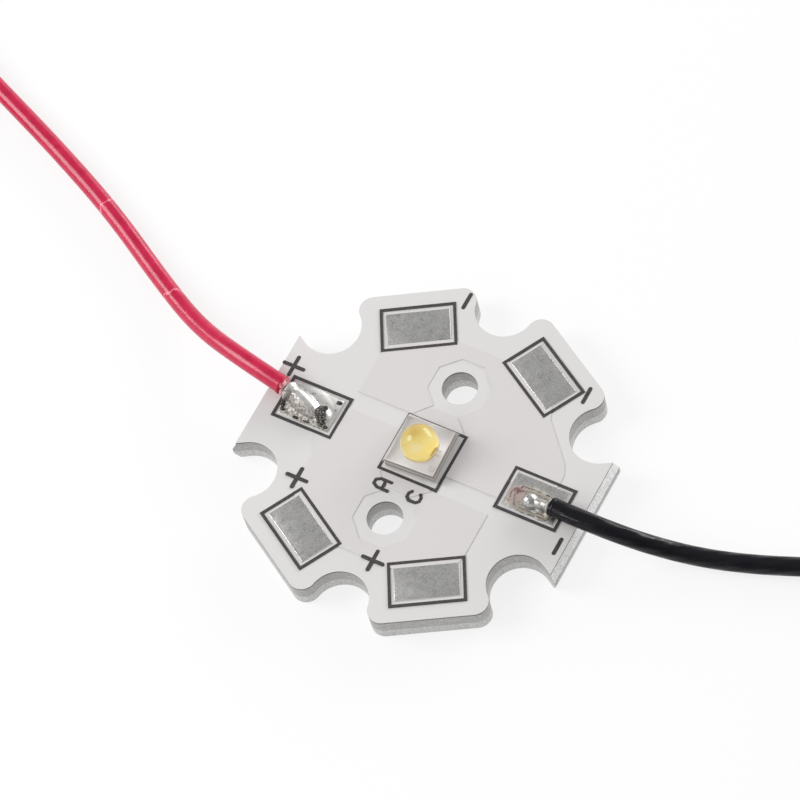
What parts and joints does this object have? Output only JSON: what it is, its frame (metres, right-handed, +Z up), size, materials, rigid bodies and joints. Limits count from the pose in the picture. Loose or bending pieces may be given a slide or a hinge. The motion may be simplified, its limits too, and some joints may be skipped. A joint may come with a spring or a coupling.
{
  "type": "star LED module",
  "caption": "Star-shaped aluminium-core board with a power LED in its middle, tinned pads round it, and a red and a black lead soldered to its two opposite pads",
  "frame": {"origin": "middle of the star on its underside, where it lies on its heat sink", "axes": "+Z up out of the LED's dome; +X along the two snapped lobes, from the red lead to the black lead; +Y along the line of the two screw holes"},
  "size_m": [0.1, 0.0257, 0.0039],
  "materials": {
    "aluminium": "bare, matte, finely routed edges",
    "dielectric": "filled epoxy, dull",
    "copper": "etched copper foil, covered by the mask",
    "mask": "white solder mask, low gloss",
    "tin": "hot-air levelled tin, slightly uneven",
    "ink": "black legend ink",
    "solder": "hand-soldered, bright with flux residue",
    "gold_plate": "thin gold plating",
    "ceramic": "white ceramic",
    "chip": "polished crystal, lit yellow by its converter plate",
    "converter": "yellow phosphor plate",
    "diode": "small chip with a pale plated top",
    "silicone": "clear moulded silicone",
    "red_pvc": "smooth insulation with a soft sheen",
    "black_pvc": "smooth insulation with a soft sheen",
    "tinned_strand": "tinned copper strands",
    "tie": "flat wrapped bands"
  },
  "bodies": {
    "root": {"aluminium_base": "aluminium", "dielectric_layer": "dielectric", "copper_anode": "copper", "copper_cathode": "copper", "copper_thermal": "copper", "solder_mask": "mask", "pad_tin_0": "tin", "pad_tin_60": "tin", "pad_tin_120": "tin", "pad_tin_180": "tin", "pad_tin_240": "tin", "pad_tin_300": "tin", "legend_frames": "ink", "led_solder_anode": "solder", "led_solder_cathode": "solder", "led_solder_thermal": "solder", "led_pad_anode": "gold_plate", "led_pad_cathode": "gold_plate", "led_pad_thermal": "gold_plate", "led_ceramic": "ceramic", "led_die_pad": "gold_plate", "led_bond_pad": "gold_plate", "led_chip": "chip", "led_converter": "converter", "led_bond_wires": "gold_plate", "led_protection_diode": "diode", "led_lens": "silicone", "red_lead_core": "tinned_strand", "red_solder_joint": "solder", "red_lead_tube": "red_pvc", "red_lead_coil": "red_pvc", "red_lead_ties": "tie", "red_lead_tip": "tinned_strand", "black_lead_core": "tinned_strand", "black_solder_joint": "solder", "black_lead_tube": "black_pvc", "black_lead_coil": "black_pvc", "black_lead_ties": "tie", "black_lead_tip": "tinned_strand"}
  },
  "joints": []
}
